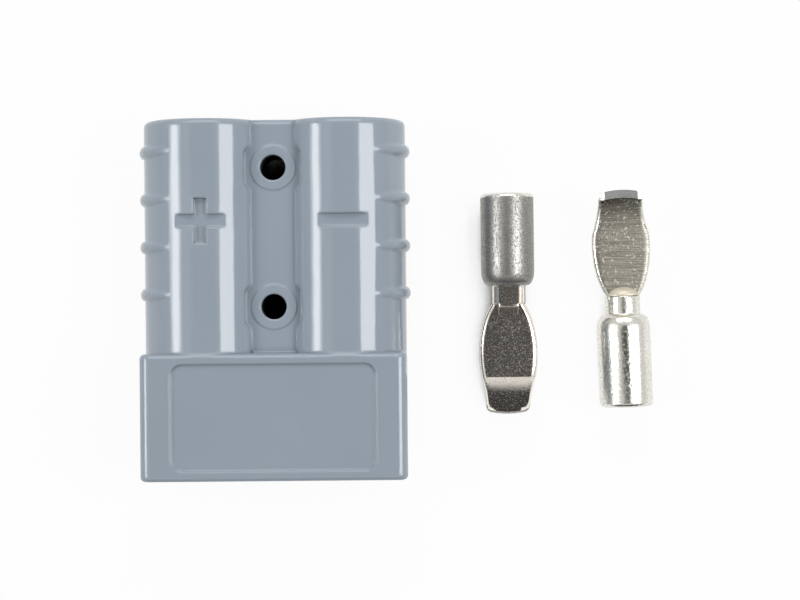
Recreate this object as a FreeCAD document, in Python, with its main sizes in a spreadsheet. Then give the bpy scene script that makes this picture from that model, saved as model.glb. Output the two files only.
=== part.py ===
import FreeCAD, Part
import Sketcher
import math
import os

# Genderless two-pole power connector, laid out with its two loose contacts.
# x runs across the connector, y from the mating end to the cable end, z up from the table.

doc = FreeCAD.newDocument("PowerConnector")
sheet = doc.addObject("Spreadsheet::Sheet", "Sizes")


class Size:
    """A length or angle that carries both its number and the sheet formula behind it."""

    def __init__(self, number, formula):
        self.number = float(number)
        self.formula = formula

    def __add__(self, other):
        other = as_size(other)
        return Size(self.number + other.number, "(%s + %s)" % (self.formula, other.formula))

    def __sub__(self, other):
        other = as_size(other)
        return Size(self.number - other.number, "(%s - %s)" % (self.formula, other.formula))

    def __mul__(self, other):
        other = as_size(other)
        return Size(self.number * other.number, "(%s * %s)" % (self.formula, other.formula))

    def __truediv__(self, other):
        other = as_size(other)
        return Size(self.number / other.number, "(%s / %s)" % (self.formula, other.formula))

    def __neg__(self):
        return Size(-self.number, "(0 - %s)" % self.formula)


def as_size(value):
    return value if isinstance(value, Size) else Size(value, "%.6g" % value)


def root(size):
    return Size(math.sqrt(size.number), "sqrt(%s)" % size.formula)


def sine(size):
    return Size(math.sin(math.radians(size.number)), "sin(%s)" % size.formula)


def cosine(size):
    return Size(math.cos(math.radians(size.number)), "cos(%s)" % size.formula)


def arcsine(size):
    return Size(math.degrees(math.asin(size.number)), "(asin(%s) / 1 deg)" % size.formula)


rows = []


def cell(alias, number, note):
    rows.append(alias)
    row = len(rows)
    sheet.set("A%d" % row, alias)
    sheet.set("B%d" % row, "%.6g" % number)
    sheet.setAlias("B%d" % row, alias)
    sheet.set("C%d" % row, note)
    return Size(number, "Sizes.%s" % alias)


# Driving dimensions of the housing
hump_radius = cell("hump_radius", 7.85, "radius of each rounded pole shell")
pole_spacing = cell("pole_spacing", 18.8, "distance between the two pole axes")
crest_flat = cell("crest_flat", 0.76, "flat left on the crest of a shell")
body_length = cell("body_length", 31.0, "from the hood step to the cable end")
channel_width = cell("channel_width", 6.2, "channel between the two shells")
web_thickness = cell("web_thickness", 8.8, "wall that carries the mounting holes")
rear_rounding = cell("rear_rounding", 0.75, "rounding of the cable end")
hood_length = cell("hood_length", 16.8, "overlap with the mating housing")
hood_width = cell("hood_width", 35.25, "outside width of the hood")
hood_rise = cell("hood_rise", 0.3, "hood top above the shell crests")
hood_wall = cell("hood_wall", 1.9, "side and top wall of the hood")
hood_back = cell("hood_back", 1.2, "wall that closes the hood behind")
hood_edge = cell("hood_edge", 1.4, "rounding along the hood sides")
hood_step = cell("hood_step", 0.7, "rounding of the hood step")
hood_front = cell("hood_front", 0.6, "rounding around the hood mouth")
parting_gap = cell("parting_gap", 0.1, "gap to the middle plane on each side")
panel_width = cell("panel_width", 26.9, "label field across")
panel_length = cell("panel_length", 14.0, "label field along")
panel_corner = cell("panel_corner", 1.45, "label field corner radius")
panel_depth = cell("panel_depth", 0.3, "label field depth")
slide_gap = cell("slide_gap", 0.25, "play of a tongue in the mating hood")
end_gap = cell("end_gap", 0.3, "play of a tongue before the hood back")
tongue_rounding = cell("tongue_rounding", 0.8, "rounding under the tongue blocks")
lip_length = cell("lip_length", 1.0, "front lip of a tongue block along")
lip_height = cell("lip_height", 0.8, "front lip of a tongue block above its floor")
hole_diameter = cell("hole_diameter", 3.4, "mounting hole")
hole_spacing = cell("hole_spacing", 18.5, "distance between the mounting holes")
hole_shift = cell("hole_shift", 0.15, "mounting holes toward the hood from the body middle")
boss_diameter = cell("boss_diameter", 6.0, "raised ring around a mounting hole")
boss_height = cell("boss_height", 0.12, "height of the raised ring")
notch_radius = cell("notch_radius", 4.3, "screw head relief in the shell walls")
notch_width = cell("notch_width", 7.6, "screw head relief across")
rib_count = cell("rib_count", 4, "grip ribs on each side")
rib_pitch = cell("rib_pitch", 6.35, "distance between grip ribs")
rib_setback = cell("rib_setback", 4.15, "first grip rib from the cable end")
rib_height = cell("rib_height", 0.6, "grip rib above the shell side")
rib_width = cell("rib_width", 2.0, "grip rib at its foot")
rib_reach = cell("rib_reach", 62, "angle at which a grip rib fades out")
mark_setback = cell("mark_setback", 13.5, "polarity marks from the cable end")
mark_length = cell("mark_length", 6.5, "polarity bar across the shell")
mark_width = cell("mark_width", 1.65, "width of a polarity bar")
mark_height = cell("mark_height", 5.9, "upright bar of the plus")
mark_depth = cell("mark_depth", 0.6, "engraving depth")
wire_bore = cell("wire_bore", 11.0, "wire entry")
wire_depth = cell("wire_depth", 14.5, "wire entry depth")
mouth_chamfer = cell("mouth_chamfer", 0.4, "chamfer at the wire entry")

# Driving dimensions of the contacts
barrel_diameter = cell("barrel_diameter", 7.3, "crimp barrel")
barrel_length = cell("barrel_length", 12.6, "crimp barrel with its shoulder")
barrel_bore = cell("barrel_bore", 5.6, "wire bore of the barrel")
barrel_depth = cell("barrel_depth", 10.5, "depth of the wire bore")
rim_rounding = cell("rim_rounding", 0.35, "rounding of the barrel mouth")
shoulder_length = cell("shoulder_length", 2.0, "shoulder along the axis")
neck_diameter = cell("neck_diameter", 4.8, "neck behind the mating tongue")
neck_length = cell("neck_length", 2.6, "neck between shoulder and tongue")
dome_length = cell("dome_length", 1.2, "rounded end of the neck under the tongue")
blade_thickness = cell("blade_thickness", 1.5, "mating tongue of the contact")
blade_length = cell("blade_length", 14.9, "mating tongue along")
blade_root = cell("blade_root", 4.5, "tongue width at the neck")
blade_width = cell("blade_width", 8.0, "widest tongue width")
blade_widest = cell("blade_widest", 7.2, "widest place from the neck")
blade_tip = cell("blade_tip", 5.6, "tongue width at the tip")
tip_bulge = cell("tip_bulge", 0.4, "rounding of the tip in plan")
nose_length = cell("nose_length", 5.1, "bent nose along")
nose_start = cell("nose_start", 10, "slope at the fold")
nose_end = cell("nose_end", 42, "slope at the tip")

# Driving dimensions of the leaf springs and of the fits
bore_play = cell("bore_play", 0.8, "widest contact place in its passage")
spring_width = cell("spring_width", 6.0, "leaf spring across")
spring_thickness = cell("spring_thickness", 0.5, "leaf spring strip")
spring_foot = cell("spring_foot", 4.4, "length held in the slot")
spring_play = cell("spring_play", 0.05, "spring above its floor and before its slot end")
spring_side_play = cell("spring_side_play", 0.15, "spring beside its slot walls")
spring_lift = cell("spring_lift", 0.1, "slot roof above the strip")
spring_gap = cell("spring_gap", 0.1, "arch below a seated contact")
spring_run = cell("spring_run", 1.1, "flat strip in front of the slot")
spring_end_play = cell("spring_end_play", 0.4, "spring tip behind the front lip")

# Where the pieces lie on the table
housing_place = cell("housing_place", -16.63, "housing middle across")
left_place = cell("left_place", 14.92, "left contact axis across")
left_mouth = cell("left_mouth", 14.2, "left barrel mouth along")
left_lean = cell("left_lean", 0.2, "left contact turn on the table")
right_place = cell("right_place", 31.13, "right contact axis across")
right_mouth = cell("right_mouth", -15.15, "right barrel mouth along")
right_lean = cell("right_lean", 1.75, "right contact turn on the table")

# Places that follow from the driving dimensions
middle = hump_radius
pole_x = pole_spacing / 2
rear_y = (body_length + hood_length) / 2
front_y = -rear_y
step_y = rear_y - body_length
hood_top = hump_radius + hood_rise
tongue_length = hood_length - hood_back - end_gap
tongue_front = step_y - tongue_length
compartment_inner = channel_width / 2
compartment_outer = hood_width / 2 - hood_wall
compartment_height = hood_top - hood_wall
passage_radius = blade_width / 2 + bore_play / 2
floor_depth = passage_radius
mark_y = rear_y - mark_setback
hole_y = (rear_y + step_y + hole_spacing) / 2 - hole_shift


def make_body(name, label):
    body = doc.addObject("PartDesign::Body", name)
    body.Label = label
    return body


def make_sketch(body, name, plane, offset=(0, 0, 0)):
    """A sketch on one of the body's own planes, moved by an offset given in the sketch's axes."""
    sketch = body.newObject("Sketcher::SketchObject", name)
    base = [feature for feature in body.Origin.OriginFeatures if feature.Role == plane][0]
    sketch.AttachmentSupport = (base, [""])
    sketch.MapMode = "FlatFace"
    offset = [as_size(part) for part in offset]
    place = FreeCAD.Vector(*[part.number for part in offset])
    sketch.AttachmentOffset = FreeCAD.Placement(place, FreeCAD.Rotation())
    for axis, part in zip("xyz", offset):
        if "Sizes" in part.formula:
            sketch.setExpression("AttachmentOffset.Base." + axis, part.formula)
    return sketch


def pin_point(sketch, curve, end, x, y):
    """Fixes one end of a curve at sheet formulas, measured from the sketch origin."""
    for kind, value in (("DistanceX", as_size(x)), ("DistanceY", as_size(y))):
        index = sketch.addConstraint(Sketcher.Constraint(kind, -1, 1, curve, end, value.number))
        sketch.setExpression("Constraints[%d]" % index, value.formula)


def pin_radius(sketch, curve, radius):
    index = sketch.addConstraint(Sketcher.Constraint("Radius", curve, radius.number))
    sketch.setExpression("Constraints[%d]" % index, radius.formula)


def draw_circle(sketch, x, y, radius):
    x, y = as_size(x), as_size(y)
    middle_point = FreeCAD.Vector(x.number, y.number, 0)
    curve = sketch.addGeometry(Part.Circle(middle_point, FreeCAD.Vector(0, 0, 1), radius.number), False)
    pin_point(sketch, curve, 3, x, y)
    pin_radius(sketch, curve, radius)


def arc_between(start, end, radius, turn):
    """A short circular arc; turn is 1 for counter-clockwise travel and -1 for clockwise."""
    chord = end - start
    half = chord.Length / 2
    sideways = FreeCAD.Vector(-chord.y, chord.x, 0).normalize()
    centre = (start + end) * 0.5 + sideways * (turn * math.sqrt(max(radius ** 2 - half ** 2, 0)))
    first, last = (start, end) if turn > 0 else (end, start)
    circle = Part.Circle(centre, FreeCAD.Vector(0, 0, 1), radius)
    angles = [math.atan2(point.y - centre.y, point.x - centre.x) for point in (first, last)]
    return Part.ArcOfCircle(circle, angles[0], angles[1])


def draw_outline(sketch, corners, bends=None):
    """A closed outline through corners; bends gives {side number: (radius, turn)} for its arcs."""
    bends = bends or {}
    corners = [(as_size(x), as_size(y)) for x, y in corners]
    points = [FreeCAD.Vector(x.number, y.number, 0) for x, y in corners]
    count = len(points)
    sides = []
    for side in range(count):
        start, end = points[side], points[(side + 1) % count]
        if side in bends:
            radius, turn = bends[side]
            curve = sketch.addGeometry(arc_between(start, end, radius.number, turn), False)
            ends = (1, 2) if turn > 0 else (2, 1)
        else:
            curve = sketch.addGeometry(Part.LineSegment(start, end), False)
            ends = (1, 2)
        sides.append((curve, ends))
    for side, (curve, ends) in enumerate(sides):
        following, following_ends = sides[(side + 1) % count]
        sketch.addConstraint(
            Sketcher.Constraint("Coincident", curve, ends[1], following, following_ends[0]))
        pin_point(sketch, curve, ends[0], *corners[side])
        if side in bends:
            pin_radius(sketch, curve, bends[side][0])


def draw_box(sketch, left, bottom, right, top):
    draw_outline(sketch, [(left, bottom), (right, bottom), (right, top), (left, top)])


def bind(feature, name, size):
    setattr(feature, name, size.number)
    feature.setExpression(name, size.formula)


def add_feature(body, kind, name, sketch, **sizes):
    """A sketch feature whose sizes are bound to the sheet."""
    feature = body.newObject("PartDesign::" + kind, name)
    feature.Profile = sketch
    for key, size in sizes.items():
        bind(feature, key, size)
    body.Tip = feature
    return feature


def add_revolved(body, kind, name, sketch, axis, angle=None):
    feature = body.newObject("PartDesign::" + kind, name)
    feature.Profile = sketch
    feature.ReferenceAxis = (sketch, [axis])
    if angle is None:
        feature.Angle = 360
    else:
        bind(feature, "Angle", angle)
        feature.Midplane = True
    body.Tip = feature
    return feature


def add_rounding(body, name, radius, wanted):
    """Rounds every edge of the tip shape that the test picks out."""
    doc.recompute()
    base = body.Tip
    edges = ["Edge%d" % (i + 1) for i, edge in enumerate(base.Shape.Edges) if wanted(edge)]
    rounding = body.newObject("PartDesign::Fillet", name)
    rounding.Base = (base, edges)
    bind(rounding, "Radius", radius)
    body.Tip = rounding
    return rounding


def spans(edge, axis, value, tolerance=0.02):
    """True when the whole edge lies at one coordinate along an axis."""
    box = edge.BoundBox
    low, high = getattr(box, axis + "Min"), getattr(box, axis + "Max")
    return abs(low - value) < tolerance and abs(high - value) < tolerance


def runs_along(edge, axis):
    box = edge.BoundBox
    lengths = {"X": box.XLength, "Y": box.YLength, "Z": box.ZLength}
    return lengths[axis] > 0.5 and all(lengths[other] < 0.02 for other in "XYZ" if other != axis)


# Housing: one moulding
housing = make_body("HousingBody", "housing")


def build_shells(body):
    """Two rounded shells hold the poles, joined by the web that carries the mounting holes."""
    sketch = make_sketch(body, "WebOutline", "XZ_Plane", (0, 0, -rear_y))
    draw_box(sketch, -pole_x, middle - web_thickness / 2, pole_x, middle + web_thickness / 2)
    add_feature(body, "Pad", "Web", sketch, Length=body_length)
    sketch = make_sketch(body, "ShellOutlines", "XZ_Plane", (0, 0, -rear_y))
    inner, outer = pole_x - crest_flat / 2, pole_x + crest_flat / 2
    for side in (1, -1):
        corners = [(inner * side, middle - hump_radius), (outer * side, middle - hump_radius),
                   (outer * side + hump_radius * side, middle),
                   (outer * side, middle + hump_radius), (inner * side, middle + hump_radius),
                   (inner * side - hump_radius * side, middle)]
        bends = {1: (hump_radius, side), 2: (hump_radius, side),
                 4: (hump_radius, side), 5: (hump_radius, side)}
        draw_outline(sketch, corners, bends)
    add_feature(body, "Pad", "Shells", sketch, Length=body_length + hood_step)
    add_rounding(body, "RearRounding", rear_rounding, lambda edge: spans(edge, "Y", rear_y.number))


def build_hood(body):
    """The hood is moulded over the mating end, on the label side of the middle plane."""
    sketch = make_sketch(body, "HoodOutline", "XZ_Plane", (0, 0, -step_y))
    draw_box(sketch, -(hood_width / 2), middle + parting_gap, hood_width / 2, middle + hood_top)
    add_feature(body, "Pad", "Hood", sketch, Length=hood_length)
    top = (middle + hood_top).number
    add_rounding(body, "HoodSides", hood_edge,
                 lambda edge: runs_along(edge, "Y") and spans(edge, "Z", top))
    add_rounding(body, "HoodStep", hood_step,
                 lambda edge: runs_along(edge, "X") and spans(edge, "Z", top)
                 and spans(edge, "Y", step_y.number))
    add_rounding(body, "HoodFront", hood_front,
                 lambda edge: runs_along(edge, "X") and spans(edge, "Z", top)
                 and spans(edge, "Y", front_y.number))


def build_shoulder(body):
    """The shells stop at the hood step on the back, where the mating hood comes to rest."""
    sketch = make_sketch(body, "ShoulderOutline", "XZ_Plane", (0, 0, -step_y))
    draw_box(sketch, -hood_width, -hump_radius, hood_width, middle + parting_gap)
    shoulder = add_feature(body, "Pocket", "Shoulder", sketch, Length=hood_length)
    shoulder.Reversed = True


def build_compartments(body):
    """Two compartments under the hood take the tongues of the mating housing."""
    sketch = make_sketch(body, "CompartmentOutlines", "XZ_Plane", (0, 0, -front_y))
    for side in (1, -1):
        draw_box(sketch, compartment_inner * side, middle - parting_gap,
                 compartment_outer * side, middle + compartment_height)
    add_feature(body, "Pocket", "Compartments", sketch, Length=hood_length - hood_back)


def build_tongues(body):
    """Two tongue blocks carry the contacts; the gap between them takes the mating hood's rib."""
    inner = compartment_inner + slide_gap + parting_gap / 2
    outer = compartment_outer - slide_gap
    bottom = middle - compartment_height + slide_gap
    sketch = make_sketch(body, "TongueOutlines", "XZ_Plane", (0, 0, -step_y))
    for side in (1, -1):
        corners = [(inner * side, middle - parting_gap),
                   (inner * side, bottom + tongue_rounding),
                   ((inner + tongue_rounding) * side, bottom),
                   ((outer - tongue_rounding) * side, bottom),
                   (outer * side, bottom + tongue_rounding), (outer * side, middle - parting_gap)]
        draw_outline(sketch, corners, {1: (tongue_rounding, side), 3: (tongue_rounding, side)})
    add_feature(body, "Pad", "Tongues", sketch, Length=tongue_length)
    sketch = make_sketch(body, "ChannelOutlines", "XY_Plane", (0, 0, middle))
    for side in (1, -1):
        draw_box(sketch, pole_x * side - passage_radius, tongue_front + lip_length,
                 pole_x * side + passage_radius, step_y)
    add_feature(body, "Pocket", "ContactChannels", sketch, Length=floor_depth)
    sketch = make_sketch(body, "LipOutlines", "XY_Plane", (0, 0, middle))
    for side in (1, -1):
        draw_box(sketch, pole_x * side - passage_radius, tongue_front - lip_length,
                 pole_x * side + passage_radius, tongue_front + lip_length)
    add_feature(body, "Pocket", "FrontLips", sketch, Length=floor_depth - lip_height)


def build_bores(body):
    """Each pole is bored from the cable end: a wide wire entry, a cone and the contact passage."""
    seat_y = rear_y - wire_depth
    cone = wire_bore / 2 - passage_radius
    end_y = step_y - hood_back - parting_gap
    for name, side in (("Right", 1), ("Left", -1)):
        sketch = make_sketch(body, name + "BoreProfile", "XY_Plane", (pole_x * side, 0, middle))
        corners = [(0, rear_y + mouth_chamfer), (0, end_y), (passage_radius, end_y),
                   (passage_radius, seat_y - cone), (wire_bore / 2, seat_y),
                   (wire_bore / 2, rear_y - mouth_chamfer),
                   (wire_bore / 2 + mouth_chamfer * 2, rear_y + mouth_chamfer)]
        draw_outline(sketch, corners)
        add_revolved(body, "Groove", name + "Bore", sketch, "V_Axis")


def build_spring_slots(body):
    """A slot behind the step holds the foot of each leaf spring."""
    sketch = make_sketch(body, "SlotOutlines", "XZ_Plane", (0, 0, -step_y))
    half = spring_width / 2 + spring_side_play
    bottom = middle - floor_depth
    for side in (1, -1):
        draw_box(sketch, pole_x * side - half, bottom,
                 pole_x * side + half, bottom + spring_thickness + spring_play + spring_lift)
    add_feature(body, "Pocket", "SpringSlots", sketch, Length=spring_foot + spring_play)


def build_mounting(body):
    """The channel between the shells has two mounting holes with screw head reliefs."""
    sketch = make_sketch(body, "ChannelOutline", "XZ_Plane", (0, 0, -rear_y))
    half = channel_width / 2
    for side in (1, -1):
        draw_box(sketch, -half, middle + (web_thickness / 2) * side,
                 half, middle + (hump_radius + rear_rounding) * side)
    channel = add_feature(body, "Pocket", "Channel", sketch, Length=body_length)
    channel.Reversed = True
    outer, inner = notch_width / 2, channel_width / 2 - boss_height
    low = root(notch_radius * notch_radius - outer * outer)
    high = root(notch_radius * notch_radius - inner * inner)
    for name, side in (("Front", 1), ("Back", -1)):
        level = middle + hump_radius * side
        sketch = make_sketch(body, name + "ReliefOutlines", "XY_Plane", (0, 0, level))
        for y in (hole_y, hole_y - hole_spacing):
            corners = [(outer, y - low), (outer, y + low), (inner, y + high), (-inner, y + high),
                       (-outer, y + low), (-outer, y - low), (-inner, y - high), (inner, y - high)]
            draw_outline(sketch, corners, {side: (notch_radius, 1) for side in (1, 3, 5, 7)})
        relief = add_feature(body, "Pocket", name + "Reliefs", sketch,
                             Length=hump_radius - web_thickness / 2)
        relief.Reversed = side < 0
    for name, side in (("Front", 1), ("Back", -1)):
        level = middle + (web_thickness / 2) * side
        sketch = make_sketch(body, name + "BossOutlines", "XY_Plane", (0, 0, level))
        for y in (hole_y, hole_y - hole_spacing):
            draw_circle(sketch, 0, y, boss_diameter / 2)
        boss = add_feature(body, "Pad", name + "Bosses", sketch, Length=boss_height)
        boss.Reversed = side < 0
    sketch = make_sketch(body, "HoleOutlines", "XY_Plane", (0, 0, middle + hump_radius))
    for y in (hole_y, hole_y - hole_spacing):
        draw_circle(sketch, 0, y, hole_diameter / 2)
    add_feature(body, "Pocket", "MountingHoles", sketch, Length=hump_radius * 2)


def build_ribs(body):
    """Grip ribs wrap the outer sides and fade out toward the crests."""
    flank_x = hump_radius * cosine(rib_reach)
    flank_z = hump_radius * sine(rib_reach)
    tip = hump_radius + rib_height
    shift = (tip * tip - flank_x * flank_x - flank_z * flank_z) / ((tip - flank_x) * 2)
    tip_radius = tip - shift
    axis_x = pole_x + crest_flat / 2 + shift
    foot = tip_radius - rib_height * 2
    shallow, steep = rib_height / 8, rib_height / 2
    for name, side in (("Right", 1), ("Left", -1)):
        offset = (axis_x * side, rear_y - rib_setback, middle)
        sketch = make_sketch(body, name + "RibProfile", "XY_Plane", offset)
        low = [(foot * side, -(rib_width * 0.6)), ((tip_radius - steep) * side, -(rib_width * 0.37)),
               ((tip_radius - shallow) * side, -(rib_width * 0.22)),
               (tip_radius * side, -(rib_width * 0.07))]
        draw_outline(sketch, low + [(x, -y) for x, y in reversed(low)])
        rib = add_revolved(body, "Revolution", name + "Rib", sketch, "V_Axis")
        pattern = body.newObject("PartDesign::LinearPattern", name + "Ribs")
        pattern.Originals = [rib]
        pattern.Direction = (sketch, ["V_Axis"])
        pattern.Reversed = True
        bind(pattern, "Length", rib_pitch * (rib_count - 1))
        pattern.Occurrences = int(rib_count.number)
        pattern.setExpression("Occurrences", rib_count.formula)
        body.Tip = pattern


def build_marks(body):
    """A plus and a minus are engraved in the crests of both faces, with flat floors."""
    bars = (("PlusBar", -1, mark_length, mark_width), ("PlusUpright", -1, mark_width, mark_height),
            ("MinusBar", 1, mark_length, mark_width))
    for name, side, width, length in bars:
        for face in (1, -1):
            sketch = make_sketch(body, name + ("Front" if face > 0 else "Back"), "XY_Plane",
                                 (0, 0, middle + hump_radius * face))
            draw_box(sketch, pole_x * side - width / 2, mark_y - length / 2,
                     pole_x * side + width / 2, mark_y + length / 2)
            bar = add_feature(body, "Pocket", sketch.Name + "Cut", sketch, Length=mark_depth)
            bar.Reversed = face < 0


def build_panel(body):
    """A shallow field for the label lies in the hood top."""
    centre_y = (front_y + step_y) / 2
    sketch = make_sketch(body, "PanelOutline", "XY_Plane", (0, centre_y, middle + hood_top))
    half_x, half_y = panel_width / 2, panel_length / 2
    inner_x, inner_y = half_x - panel_corner, half_y - panel_corner
    corners = [(-inner_x, -half_y), (inner_x, -half_y), (half_x, -inner_y), (half_x, inner_y),
               (inner_x, half_y), (-inner_x, half_y), (-half_x, inner_y), (-half_x, -inner_y)]
    draw_outline(sketch, corners, {side: (panel_corner, 1) for side in (1, 3, 5, 7)})
    add_feature(body, "Pocket", "Panel", sketch, Length=panel_depth)


build_shells(housing)
build_hood(housing)
build_shoulder(housing)
build_compartments(housing)
build_tongues(housing)
build_mounting(housing)
build_ribs(housing)
build_bores(housing)
build_spring_slots(housing)
build_marks(housing)
build_panel(housing)


def build_contact(name, label):
    """A turned barrel and neck with a flattened tongue; its origin is at the barrel mouth."""
    body = make_body(name, label)
    barrel_radius, neck_radius = barrel_diameter / 2, neck_diameter / 2
    neck_end = barrel_length + neck_length
    tip_y = neck_end + blade_length

    sketch = make_sketch(body, name + "Profile", "XY_Plane")
    drop = barrel_radius - neck_radius
    shoulder = (drop * drop + shoulder_length * shoulder_length) / (drop * 2)
    corners = [(0, barrel_depth), (barrel_bore / 2, barrel_depth), (barrel_bore / 2, 0),
               (barrel_radius - rim_rounding, 0),
               (barrel_radius - rim_rounding * 0.3, rim_rounding * 0.3), (barrel_radius, rim_rounding),
               (barrel_radius, barrel_length - shoulder_length), (neck_radius, barrel_length),
               (neck_radius, neck_end), (0, neck_end)]
    draw_outline(sketch, corners, {6: (shoulder, 1)})
    add_revolved(body, "Revolution", name + "Barrel", sketch, "V_Axis")

    sketch = make_sketch(body, name + "DomeProfile", "XY_Plane")
    drop = neck_radius - blade_thickness
    dome = (drop * drop + dome_length * dome_length) / (drop * 2)
    corners = [(0, neck_end), (neck_radius, neck_end), (blade_thickness, neck_end + dome_length),
               (0, neck_end + dome_length)]
    draw_outline(sketch, corners, {1: (dome, 1)})
    half = add_revolved(body, "Revolution", name + "Dome", sketch, "V_Axis")
    half.Angle = 180

    root_y = neck_end - neck_length / 3
    fold_y = tip_y - nose_length
    bend = nose_length / (sine(nose_end) - sine(nose_start))
    tip_z = bend * (cosine(nose_end) - cosine(nose_start))
    inside = bend - blade_thickness
    centre_y, centre_z = fold_y - bend * sine(nose_start), -(bend * cosine(nose_start))
    reach = centre_z + blade_thickness
    under_y = centre_y + root(inside * inside - reach * reach)
    sketch = make_sketch(body, name + "BladeProfile", "YZ_Plane")
    corners = [(root_y, 0), (root_y, -blade_thickness), (under_y, -blade_thickness),
               (tip_y - blade_thickness * sine(nose_end),
                tip_z - blade_thickness * cosine(nose_end)),
               (tip_y, tip_z), (fold_y, 0)]
    draw_outline(sketch, corners, {2: (inside, -1), 4: (bend, 1)})
    blade = add_feature(body, "Pad", name + "Blade", sketch, Length=blade_width)
    blade.Midplane = True

    sketch = make_sketch(body, name + "PlanOutline", "XY_Plane")
    start_y, widest_y = root_y - neck_length / 6, neck_end + blade_widest
    corner_y = tip_y - tip_bulge
    clear_x, clear_y = blade_width, tip_y + blade_width
    width = (blade_width - blade_root) / 2
    swell = (width * width + blade_widest * blade_widest) / (width * 2)
    width = (blade_width - blade_tip) / 2
    run = corner_y - widest_y
    taper = (width * width + run * run) / (width * 2)
    tip_arc = (blade_tip * blade_tip / 4 + tip_bulge * tip_bulge) / (tip_bulge * 2)
    side = [(blade_root / 2, start_y), (blade_root / 2, neck_end), (blade_width / 2, widest_y),
            (blade_tip / 2, corner_y)]
    corners = side + [(-x, y) for x, y in reversed(side)]
    corners += [(-clear_x, start_y), (-clear_x, clear_y), (clear_x, clear_y), (clear_x, start_y)]
    draw_outline(sketch, corners, {1: (swell, 1), 2: (taper, 1), 3: (tip_arc, 1),
                                   4: (taper, 1), 5: (swell, 1)})
    plan = add_feature(body, "Pocket", name + "Plan", sketch, Length=barrel_diameter * 2)
    plan.Midplane = True
    return body


def build_spring(name, label):
    """A strip of spring steel: a foot held in the housing slot and an arch under the contact."""
    body = make_body(name, label)
    level = middle - floor_depth + spring_play
    rise = floor_depth - spring_play - spring_thickness - blade_thickness - spring_gap
    foot_y, bend_y = step_y + spring_foot, step_y - spring_run
    end_y = tongue_front + lip_length + spring_end_play
    half = (bend_y - end_y) / 2
    inside = (half * half + rise * rise) / (rise * 2)
    outside = inside + spring_thickness
    centre_y, centre_z = (bend_y + end_y) / 2, level + rise - inside
    top = level + spring_thickness
    top_y = centre_y + root(outside * outside - (top - centre_z) * (top - centre_z))
    ratio = outside / inside
    sketch = make_sketch(body, name + "Profile", "YZ_Plane")
    corners = [(foot_y, level), (foot_y, top), (top_y, top),
               (centre_y - half * ratio, centre_z + (level - centre_z) * ratio),
               (end_y, level), (bend_y, level)]
    draw_outline(sketch, corners, {2: (outside, 1), 4: (inside, -1)})
    strip = add_feature(body, "Pad", name + "Strip", sketch, Length=spring_width)
    strip.Midplane = True
    return body


def place(body, x, y, z, yaw, pitch):
    """Puts a piece on the table with its place bound to the sheet."""
    turn = FreeCAD.Rotation(as_size(yaw).number, as_size(pitch).number, 0)
    where = FreeCAD.Vector(*[as_size(part).number for part in (x, y, z)])
    body.Placement = FreeCAD.Placement(where, turn)
    parts = tuple(as_size(part).formula for part in (x, y, z, yaw, pitch))
    body.setExpression("Placement", "placement(vector(%s; %s; %s); rotation(%s; %s; 0))" % parts)


place(housing, housing_place, 0, 0, 0, 0)
pieces = [housing]
for name, label, side in (("PlusSpring", "spring_plus", -1), ("MinusSpring", "spring_minus", 1)):
    spring = build_spring(name, label)
    place(spring, housing_place + pole_x * side, 0, 0, 0, 0)
    pieces.append(spring)
contact = build_contact("LeftContact", "contact_face_up")
place(contact, left_place, left_mouth, barrel_diameter / 2, left_lean + 180, 0)
pieces.append(contact)
contact = build_contact("RightContact", "contact_face_down")
place(contact, right_place, right_mouth, barrel_diameter / 2, right_lean, 180)
pieces.append(contact)

doc.recompute()
for feature in doc.Objects:
    if "Invalid" in feature.State or "Error" in feature.State:
        raise RuntimeError("%s is %s" % (feature.Name, feature.State))
os.makedirs("parts", exist_ok=True)
for piece in pieces:
    shape = piece.Shape
    if shape.isNull() or not shape.isValid() or len(shape.Solids) != 1:
        raise RuntimeError("%s is not one sound solid" % piece.Label)
    shape.exportStep("parts/%s.step" % piece.Label)
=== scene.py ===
import bpy, bmesh, math
from mathutils import Matrix


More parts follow.
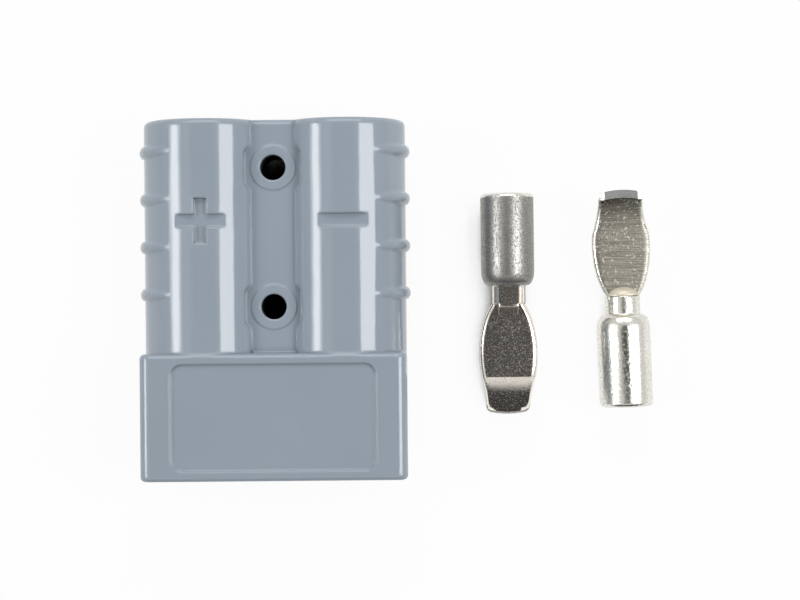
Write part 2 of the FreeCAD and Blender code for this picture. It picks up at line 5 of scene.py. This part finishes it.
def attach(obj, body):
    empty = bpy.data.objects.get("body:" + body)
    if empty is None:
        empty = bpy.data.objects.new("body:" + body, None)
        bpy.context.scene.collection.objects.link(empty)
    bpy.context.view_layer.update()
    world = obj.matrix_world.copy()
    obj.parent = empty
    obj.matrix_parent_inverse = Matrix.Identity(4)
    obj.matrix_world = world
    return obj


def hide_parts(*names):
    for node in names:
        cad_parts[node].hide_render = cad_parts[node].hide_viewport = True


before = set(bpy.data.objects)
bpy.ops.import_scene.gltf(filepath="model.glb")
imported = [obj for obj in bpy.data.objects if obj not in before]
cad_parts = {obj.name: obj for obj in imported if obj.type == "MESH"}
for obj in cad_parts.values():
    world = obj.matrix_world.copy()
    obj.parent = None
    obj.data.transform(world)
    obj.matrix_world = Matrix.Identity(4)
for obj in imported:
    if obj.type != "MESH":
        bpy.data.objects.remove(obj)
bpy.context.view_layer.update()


# The housing is one moulding of glossy blue-grey plastic with two rounded pole shells, a web with
# two mounting holes and a hood over the mating end. It comes out of a polished two-part mould.
class Tone:
    """One value of a material while it is mixed: a node socket that sums and products can use."""

    def __init__(self, tree, socket):
        self.tree, self.socket = tree, socket

    def node(self, kind, settings=(), output=0, **inputs):
        """A node with its settings and its inputs, which go by name or, as in i0, by number."""
        made = self.tree.nodes.new(kind)
        for name, value in dict(settings).items():
            setattr(made, name, value)
        for name, value in inputs.items():
            numbered = name[0] == "i" and name[1:].isdigit()
            socket = made.inputs[int(name[1:]) if numbered else name.replace("_", " ")]
            if isinstance(value, Tone):
                self.tree.links.new(value.socket, socket)
            else:
                socket.default_value = value
        return Tone(self.tree, made.outputs[output])

    def maths(self, operation, first, second):
        return self.node("ShaderNodeMath", {"operation": operation}, i0=first, i1=second)

    def __add__(self, other): return self.maths("ADD", self, other)
    def __radd__(self, other): return self.maths("ADD", other, self)
    def __sub__(self, other): return self.maths("SUBTRACT", self, other)
    def __rsub__(self, other): return self.maths("SUBTRACT", other, self)
    def __mul__(self, other): return self.maths("MULTIPLY", self, other)
    def __rmul__(self, other): return self.maths("MULTIPLY", other, self)

    def between(self, low, high):
        """0 below low, 1 above high, and smooth between them."""
        return self.node("ShaderNodeMapRange", {"interpolation_type": "SMOOTHSTEP"}, Value=self,
                         From_Min=low, From_Max=high)

    def blend(self, first, second):
        """A colour between two, by this value."""
        return self.node("ShaderNodeMix", {"data_type": "RGBA"}, output=2, i0=self, i6=first,
                         i7=second)


def srgb(red, green, blue):
    """A colour as a painter's card gives it, 0 to 255, turned into light."""
    parts = [part / 255 for part in (red, green, blue)]
    return tuple(part / 12.92 if part <= 0.04045 else ((part + 0.055) / 1.055) ** 2.4
                 for part in parts) + (1.0,)


def new_finish(name):
    """An empty material, its shader and the place on the object that patterns are read from."""
    finish = bpy.data.materials.new(name)
    finish.use_nodes = True
    shader = finish.node_tree.nodes["Principled BSDF"]
    start = Tone(finish.node_tree, None)
    place = start.node("ShaderNodeTexCoord", output=3)
    return finish, shader, place


def feed(shader, **values):
    """Sets the shader's sockets, or links them where a value changes over the surface."""
    for name, value in values.items():
        socket = shader.inputs[name.replace("_", " ")]
        if isinstance(value, Tone):
            value.tree.links.new(value.socket, socket)
        else:
            socket.default_value = value


def moulded_plastic():
    """Glossy plastic with soft sink waves, rounded edges and painted shade in deep holes."""
    finish, shader, place = new_finish("housing_plastic")
    cloud = place.node("ShaderNodeTexNoise", Vector=place, Scale=90.0, Detail=3.0)
    speck = place.node("ShaderNodeTexNoise", Vector=place, Scale=2600.0, Detail=2.0)
    wave = place.node("ShaderNodeTexNoise", Vector=place, Scale=150.0, Detail=1.5)
    edge = place.node("ShaderNodeBevel", {"samples": 8}, Radius=0.00055)
    bump = place.node("ShaderNodeBump", Strength=1.0, Distance=0.001, Normal=edge,
                      Height=wave * 0.06 + speck * 0.0008)
    # Painted shade: an occlusion mask takes the base colour near black, and the gloss down, in deep
    # holes and tight corners.
    openness_for_painted_shade = place.node("ShaderNodeAmbientOcclusion", output=1, Distance=0.006)
    painted_shade_mask = openness_for_painted_shade.between(0.12, 0.45)
    colour = cloud.blend(srgb(149, 161, 173), srgb(156, 167, 178))
    feed(shader, Base_Color=painted_shade_mask.blend(srgb(14, 15, 16), colour), Normal=bump, IOR=1.58,
         Roughness=0.07 + cloud * 0.07 + (1 - painted_shade_mask) * 0.5)
    return finish


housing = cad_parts["housing"]
housing.data.materials.clear()
housing.data.materials.append(moulded_plastic())


# The two leaf springs are strips cut from rolled spring steel and bent to a shallow arch. Each lies in
# a tongue block with one end held in a slot, and pushes up on the contact that is seated over it.
def spring_steel():
    finish, shader, place = new_finish("spring_steel")
    grain = place.node("ShaderNodeTexNoise", Vector=place, Scale=900.0, Detail=3.0)
    feed(shader, Base_Color=grain.blend(srgb(150, 150, 152), srgb(178, 178, 180)), Metallic=1.0,
         Roughness=0.28 + grain * 0.12)
    return finish


steel = spring_steel()
for name in ("spring_plus", "spring_minus"):
    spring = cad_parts[name]
    spring.data.materials.clear()
    spring.data.materials.append(steel)


# The two contacts are turned and pressed from copper and plated silver white: a barrel for the wire, a
# thin neck, and a tongue whose nose is bent. They lie loose beside the housing, one with its mating
# face up and one face down.
barrel_radius, barrel_length, bore_radius, bore_depth = 3.65, 12.6, 2.8, 10.5
neck_radius, neck_end = 2.4, 15.2
shoulder_rounding, shoulder_stretch, neck_rounding, end_rounding = 1.0, 2.0, 0.18, 0.2
mouth_rounding, bore_rounding, ramp_rounding = 0.55, 0.12, 0.12
neck_flat, ramp_width, ramp_length, ramp_top, ramp_root = 1.97, 2.7, 1.6, 0.35, 0.4
dome_swell, dome_top = (1.08, 0.63, 1.02), -1.2
tongue_thickness, tongue_edge = 1.5, 0.6
nose_start, nose_end, nose_length, nose_thickness = 11.0, 36.0, 4.9, 1.15
lip_turn, lip_length, tip_bulge = 38.0, 1.2, 0.4
tongue_widths = ((-1.0, 4.3), (0.0, 4.6), (0.5, 5.25), (1.0, 5.75), (2.0, 6.55), (3.0, 7.1),
                 (4.2, 7.6), (5.5, 7.9), (7.0, 8.0), (8.4, 7.85))
fold_width, tip_width = 7.45, 6.0
rim_length, cut_length, cut_width = 0.5, 1.0, 4.6


def round_off(shape, edges, size, segments):
    """Rounds edges of a shape."""
    bmesh.ops.bevel(shape, geom=edges, offset=size, offset_type="OFFSET", affect="EDGES",
                    segments=segments, profile=0.5, material=-1)


def turn_barrel(shape):
    """The barrel and neck are one profile turned about Y, with its corners rounded."""
    profile = [(0, bore_depth), (bore_radius, bore_depth), (bore_radius, 0), (barrel_radius, 0),
               (barrel_radius, barrel_length), (neck_radius, barrel_length),
               (neck_radius, neck_end), (0, neck_end)]
    corners = [shape.verts.new((radius, y, 0)) for radius, y in profile]
    lines = [shape.edges.new(pair) for pair in zip(corners, corners[1:])]
    bmesh.ops.spin(shape, geom=corners + lines, axis=(0, 1, 0), cent=(0, 0, 0), steps=72,
                   angle=math.tau, use_merge=True)
    bmesh.ops.remove_doubles(shape, verts=shape.verts, dist=1e-4)

    def ring(radius, y):
        return [edge for edge in shape.edges
                if all(abs(math.hypot(end.co.x, end.co.z) - radius) < 1e-2
                       and abs(end.co.y - y) < 1e-3 for end in edge.verts)]

    round_off(shape, ring(barrel_radius, barrel_length), shoulder_rounding, 8)
    curved = [vert for vert in shape.verts
              if -shoulder_rounding - 0.01 < vert.co.y - barrel_length < 0.01
              and math.hypot(vert.co.x, vert.co.z) > neck_radius + 0.1]
    bmesh.ops.scale(shape, vec=(1, shoulder_stretch, 1), verts=curved,
                    space=Matrix.Translation((0, -barrel_length, 0)))
    round_off(shape, ring(neck_radius, barrel_length), neck_rounding, 3)
    round_off(shape, ring(neck_radius, neck_end), end_rounding, 3)
    round_off(shape, ring(barrel_radius, 0), mouth_rounding, 5)
    round_off(shape, ring(bore_radius, 0), bore_rounding, 2)
    for vert in shape.verts:
        if vert.co.y > barrel_length + 0.15:
            vert.co.z = min(vert.co.z, neck_flat)


def press_ramp(shape):
    """On the mating side the neck is pressed flat and runs down to the tongue in a short ramp."""
    ramp = bmesh.ops.create_cube(shape, size=1)["verts"]
    bmesh.ops.scale(shape, vec=(ramp_width, ramp_length * 2, neck_flat + ramp_root), verts=ramp)
    bmesh.ops.translate(shape, vec=(0, neck_end, (neck_flat - ramp_root) / 2 - 0.01), verts=ramp)
    front = [vert for vert in ramp if vert.co.y > neck_end and vert.co.z > 0]
    bmesh.ops.translate(shape, vec=(0, ramp_top - ramp_length, 0), verts=front)
    edges = {edge for vert in ramp for edge in vert.link_edges}
    round_off(shape, list(edges), ramp_rounding, 3)


def press_tongue(shape, fold_y):
    """The tongue is drawn out of the neck ring by ring, bent at the fold and rounded at its edges."""
    made = bmesh.ops.create_grid(shape, x_segments=8, y_segments=1, size=0.5,
                                 matrix=Matrix.Rotation(math.radians(90), 4, "X"))
    verts = made["verts"]
    faces = list({face for vert in verts for face in vert.link_faces})
    root, (first, width) = faces, tongue_widths[0]
    bmesh.ops.scale(shape, vec=(width, 1, tongue_thickness), verts=verts)
    bmesh.ops.translate(shape, vec=(0, neck_end + first, -tongue_thickness / 2), verts=verts)
    own, y = set(verts), neck_end + first

    def draw_out(faces):
        drawn = bmesh.ops.extrude_face_region(shape, geom=faces)["geom"]
        if faces is not root:
            bmesh.ops.delete(shape, geom=faces, context="FACES_ONLY")
        return ([part for part in drawn if isinstance(part, bmesh.types.BMVert)],
                [part for part in drawn if isinstance(part, bmesh.types.BMFace)])

    for along, wide in tongue_widths[1:] + ((fold_y - neck_end, fold_width),):
        verts, faces = draw_out(faces)
        bmesh.ops.translate(shape, vec=(0, neck_end + along - y, 0), verts=verts)
        bmesh.ops.scale(shape, vec=(wide / width, 1, 1), verts=verts)
        own.update(verts)
        y, width = neck_end + along, wide
    bend = nose_length / (math.sin(math.radians(nose_end)) - math.sin(math.radians(nose_start)))
    start = math.radians(nose_start)
    centre = (0, fold_y - bend * math.sin(start), -bend * math.cos(start))
    crease = [vert for vert in verts if vert.co.z > -0.01]
    bmesh.ops.rotate(shape, cent=(0, fold_y, 0), verts=verts,
                     matrix=Matrix.Rotation(-start / 2, 3, "X"))
    steps = 6
    turn = Matrix.Rotation(-math.radians(nose_end - nose_start) / steps, 3, "X")
    thin = (nose_thickness / tongue_thickness) ** (1 / steps)
    for step in range(steps):
        verts, faces = draw_out(faces)
        if step == 0:
            bmesh.ops.rotate(shape, cent=(0, fold_y, 0), verts=verts,
                             matrix=Matrix.Rotation(-start / 2, 3, "X"))
        bmesh.ops.rotate(shape, cent=centre, verts=verts, matrix=turn)
        wide = tip_width + (fold_width - tip_width) * (1 - (step + 1) / steps) ** 2
        bmesh.ops.scale(shape, vec=(wide / width, 1, 1), verts=verts)
        top = max(verts, key=lambda vert: vert.co.z).co.copy()
        bmesh.ops.scale(shape, vec=(1, thin, thin), verts=verts,
                        space=Matrix.Translation((0, -top.y, -top.z)))
        own.update(verts)
        width = wide
    lean = math.radians(nose_end + lip_turn)
    top = max(verts, key=lambda vert: vert.co.z).co.copy()
    bmesh.ops.rotate(shape, cent=top, verts=verts,
                     matrix=Matrix.Rotation(-math.radians(lip_turn / 2), 3, "X"))
    shoulders = list(verts)
    verts, faces = draw_out(faces)
    bmesh.ops.rotate(shape, cent=top, verts=verts,
                     matrix=Matrix.Rotation(-math.radians(lip_turn / 2), 3, "X"))
    bmesh.ops.translate(shape, verts=verts, vec=(0, math.cos(lean) * lip_length,
                                                 -math.sin(lean) * lip_length))
    own.update(verts)
    for vert in shoulders + verts:
        vert.co.y += tip_bulge * (1 - (2 * vert.co.x / width) ** 2) - tip_bulge
    caps = set(root) | set(faces)
    sides = [edge for edge in shape.edges if set(edge.verts) <= own and len(edge.link_faces) == 2
             and not caps & set(edge.link_faces) and edge.calc_face_angle(0) > 1.0]
    for edge in shape.edges:
        if all(vert in crease for vert in edge.verts):
            edge.smooth = False
    round_off(shape, sides, tongue_edge, 4)


def swell_dome(shape):
    """Under the tongue the neck runs out in a small dome, cut off at the tongue and at the neck."""
    place = Matrix.Translation((0, neck_end, 0)) @ Matrix.Diagonal((*dome_swell, 1))
    bmesh.ops.create_uvsphere(shape, u_segments=48, v_segments=24, radius=neck_radius, matrix=place)
    for spot, way in (((0, 0, dome_top), (0, 0, 1)), ((0, neck_end, 0), (0, -1, 0))):
        parts = list(shape.verts) + list(shape.edges) + list(shape.faces)
        cut = bmesh.ops.bisect_plane(shape, geom=parts, plane_co=spot, plane_no=way,
                                     clear_outer=True)
        opened = [part for part in cut["geom_cut"] if isinstance(part, bmesh.types.BMEdge)]
        bmesh.ops.holes_fill(shape, edges=opened, sides=0)


def speckled(place, size, low, high):
    """Small irregular marks, 0 between them and 1 on them."""
    noise = place.node("ShaderNodeTexNoise", Vector=place, Scale=1000 / size, Detail=3.0,
                       Roughness=0.65)
    return noise, noise.between(low, high)


def plated(name, dark, light, mark, roughness, grain, marks, bump_depth, metal=1.0):
    """Silver-white plating over turned or pressed copper, mottled as it comes from the barrel."""
    finish, shader, place = new_finish(name)
    noise, fine = speckled(place, grain, *marks)
    broad = place.node("ShaderNodeTexNoise", Vector=place, Scale=420.0, Detail=3.0)
    bump = place.node("ShaderNodeBump", Strength=1.0, Distance=0.001,
                      Height=noise * bump_depth + broad * 0.02)
    feed(shader, Base_Color=fine.blend(broad.blend(dark, light), mark), Normal=bump,
         Metallic=(1 - fine * 0.55) * metal, Roughness=roughness + fine * 0.14 + broad * 0.07)
    return finish


def striped(name, dark, light, mark, roughness, stripe_depth):
    """The rolled and pressed flats carry fine lines across, nicks from handling, and painted shade in
    tight creases.
    """
    finish, shader, place = new_finish(name)
    across = place.node("ShaderNodeMapping", {"vector_type": "POINT"}, Vector=place,
                        Scale=(300.0, 6500.0, 300.0))
    lines = place.node("ShaderNodeTexNoise", Vector=across, Scale=1.0, Detail=3.0, Roughness=0.65)
    noise, nicks = speckled(place, 0.36, 0.58, 0.66)
    groove = lines.between(0.40, 0.62)
    bump = place.node("ShaderNodeBump", Strength=1.0, Distance=0.001,
                      Height=lines * stripe_depth + noise * 0.01)
    # Painted shade: an occlusion mask takes the base colour near black in tight creases, such as under
    # the lip of the nose.
    painted_crease_shade = place.node("ShaderNodeAmbientOcclusion", output=1, Distance=0.0009).between(0.45, 0.85)
    metal = nicks.blend(groove.blend(dark, light), mark)
    feed(shader, Base_Color=painted_crease_shade.blend(srgb(38, 36, 34), metal), Normal=bump,
         Metallic=1 - nicks * 0.6, Roughness=roughness + nicks * 0.15)
    return finish


bright_barrel = plated("plating_bright", srgb(224, 221, 212), srgb(244, 242, 234),
                       srgb(202, 198, 188), 0.09, 0.24, (0.50, 0.66), 0.03)
dull_barrel = plated("plating_dull", srgb(150, 149, 145), srgb(170, 168, 163),
                     srgb(118, 117, 114), 0.31, 0.20, (0.46, 0.60), 0.020, 0.97)
cut_finish = plated("plating_cut", srgb(106, 106, 105), srgb(128, 128, 126),
                    srgb(132, 132, 130), 0.30, 0.3, (0.56, 0.72), 0.01, 0.85)
dome_finish = plated("plating_dome", srgb(216, 207, 187), srgb(228, 220, 202),
                     srgb(208, 199, 181), 0.45, 0.3, (0.50, 0.66), 0.01, 0.5)
face_finish = plated("plating_face", srgb(248, 239, 229), srgb(255, 249, 234),
                     srgb(190, 178, 186), 0.08, 0.17, (0.51, 0.72), 0.010)
under_finish = striped("plating_underside", srgb(137, 133, 122), srgb(167, 163, 152),
                       srgb(206, 204, 196), 0.40, 0.015)


def make_contact(name, node, barrel_finish, fold_y, x, y, yaw, pitch):
    """One contact, turned and laid on the table with its barrel mouth at x, y."""
    shape = bmesh.new()
    swell_dome(shape)
    dome = set(shape.faces)
    turn_barrel(shape)
    press_ramp(shape)
    turned = set(shape.faces)
    press_tongue(shape, fold_y)
    bmesh.ops.recalc_face_normals(shape, faces=shape.faces)
    shape.normal_update()
    for edge in shape.edges:
        if edge.calc_face_angle(0) > math.radians(32):
            edge.smooth = False
    on_barrel, on_face, on_underside, on_cut, on_dome, on_rim_and_painted_glint = range(6)
    slight, up, down = 0.3, 0.4, -0.85
    for face in shape.faces:
        face.smooth = True
        spot, level = face.calc_center_median(), face.normal.z
        pressed = spot.y > barrel_length and level > slight \
            and all(vert.co.z < neck_flat + 0.01 for vert in face.verts)
        if face in dome:
            face.material_index = on_dome
        elif spot.y < rim_length:
            face.material_index = on_rim_and_painted_glint
        elif face in turned and not pressed:
            face.material_index = on_barrel
        elif level > up:
            face.material_index = on_face
        elif level < down and spot.y > fold_y + nose_length - cut_length:
            # Painted highlight: the outer corners of the cut end take the bright plating, where a
            # rounded edge would catch the light.
            face.material_index = on_cut if abs(spot.x) < cut_width / 2 else on_rim_and_painted_glint
        elif level < down or (face.normal.y < -slight and spot.y > fold_y):
            face.material_index = on_underside
        else:
            face.material_index = on_barrel
    lie = (Matrix.Translation((x, y, barrel_radius)) @ Matrix.Rotation(math.radians(yaw), 4, "Z")
           @ Matrix.Rotation(math.radians(pitch), 4, "Y"))
    shape.transform(Matrix.Scale(0.001, 4) @ lie)
    mesh = bpy.data.meshes.new(name)
    shape.to_mesh(mesh)
    shape.free()
    for finish in (barrel_finish, face_finish, under_finish, cut_finish, dome_finish,
                   bright_barrel):
        mesh.materials.append(finish)
    piece = bpy.data.objects.new(name, mesh)
    bpy.context.scene.collection.objects.link(piece)
    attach(piece, "root")
    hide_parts(node)


make_contact("crimp_contact_face_up", "contact_face_up", dull_barrel, 25.2, 14.92, 14.2, 180.2, 0)
make_contact("crimp_contact_face_down", "contact_face_down", bright_barrel, 24.35, 31.13, -15.15,
             1.75, 180)


# The connector lies on a plain white table top of 3 m. It looks white to the camera and in the
# reflections on the parts, and carries painted shadow in the narrow places beside and under them.
table_top = bmesh.new()
bmesh.ops.create_grid(table_top, x_segments=1, y_segments=1, size=1.5)
table_mesh = bpy.data.meshes.new("table_top")
table_top.to_mesh(table_mesh)
table_top.free()
table = bpy.data.objects.new("table_top", table_mesh)
bpy.context.scene.collection.objects.link(table)
table_finish = bpy.data.materials.new("table_white")
table_finish.use_nodes = True
tree = table_finish.node_tree
tree.nodes.clear()
start = Tone(tree, None)
glow = start.node("ShaderNodeEmission", Color=(1.0, 1.0, 1.0, 1.0), Strength=1.0)
camera_ray = start.node("ShaderNodeLightPath", output=0)
glossy_ray = start.node("ShaderNodeLightPath", output=3)
seen = start.maths("MAXIMUM", camera_ray, glossy_ray)
# Painted shadow: an occlusion mask darkens the table's glow and its colour in narrow places beside and
# under the parts.
openness_for_painted_shade = start.node("ShaderNodeAmbientOcclusion", output=1, Distance=0.03).between(0.19, 0.42)
diffuse = start.node("ShaderNodeBsdfDiffuse", Color=openness_for_painted_shade.blend((0.02, 0.02, 0.02, 1.0),
                                                                   (0.9, 0.9, 0.9, 1.0)))
mixed = start.node("ShaderNodeMixShader", i0=seen * openness_for_painted_shade * 0.94, i1=diffuse, i2=glow)
surface = tree.nodes.new("ShaderNodeOutputMaterial")
tree.links.new(mixed.socket, surface.inputs["Surface"])
table_mesh.materials.append(table_finish)


# The studio has soft panels at the left, where the core is brighter, at the right and behind. The
# room is pale and darkens overhead and toward the front.
def soft_panel(name, lean, distance, width, length, radiance):
    """A soft light panel over the table, leaning from the vertical toward +X and facing the part."""
    lamp = bpy.data.lights.new(name, "AREA")
    lamp.shape, lamp.size, lamp.size_y = "RECTANGLE", width, length
    lamp.energy = radiance * math.pi * width * length
    panel = bpy.data.objects.new(name, lamp)
    angle = math.radians(lean)
    panel.location = (distance * math.sin(angle), 0, distance * math.cos(angle))
    panel.rotation_euler = (0, angle, 0)
    bpy.context.scene.collection.objects.link(panel)
    return panel


soft_panel("left_panel", -51.0, 0.6, 0.24, 0.24, 3.0)
soft_panel("left_panel_core", -51.0, 0.62, 0.135, 0.24, 5.5)
soft_panel("right_panel", 38.5, 0.6, 0.31, 0.24, 6.5)
back = soft_panel("back_panel", 0.0, 0.6, 0.5, 0.22, 3.4)
back.location, back.rotation_euler = (0, 0.46, 0.385), (math.radians(-50), 0, 0)
world = bpy.data.worlds.new("studio")
bpy.context.scene.world = world
world.use_nodes = True
tree = world.node_tree
tree.nodes.clear()
start = Tone(tree, None)
direction = start.node("ShaderNodeTexCoord", output=0)
upward = start.node("ShaderNodeSeparateXYZ", output=2, Vector=direction)
forward = start.node("ShaderNodeSeparateXYZ", output=1, Vector=direction)
overhead = upward.between(0.915, 0.965)
low_wall = 1 - upward.between(0.0, 0.35)
front_wall = (0 - forward).between(0.52, 0.68)
pale, dim, fill = 0.95, 0.08, 0.33
walls = (1 - low_wall * 0.12) * (1 - front_wall * 0.95) * pale
room = (1 - overhead) * walls + overhead * dim
camera_ray = start.node("ShaderNodeLightPath", output=0)
glossy_ray = start.node("ShaderNodeLightPath", output=3)
strength = camera_ray + (1 - camera_ray) * (glossy_ray * room + (1 - glossy_ray) * fill)
light = start.node("ShaderNodeBackground", Strength=strength)
sky = tree.nodes.new("ShaderNodeOutputWorld")
tree.links.new(light.socket, sky.inputs["Surface"])


# The camera looks straight down from 263 mm above the table, over the middle of the laid out parts,
# and is turned by half a degree.
lens = bpy.data.cameras.new("camera")
lens.lens, lens.sensor_width, lens.clip_start = 84.9, 36.0, 0.01
camera = bpy.data.objects.new("camera", lens)
camera.location = (0.00012, -0.00027, 0.263)
camera.rotation_euler = (0, 0, math.radians(-0.53))
bpy.context.scene.collection.objects.link(camera)
bpy.context.scene.camera = camera
bpy.context.scene.view_settings.view_transform = "Standard"
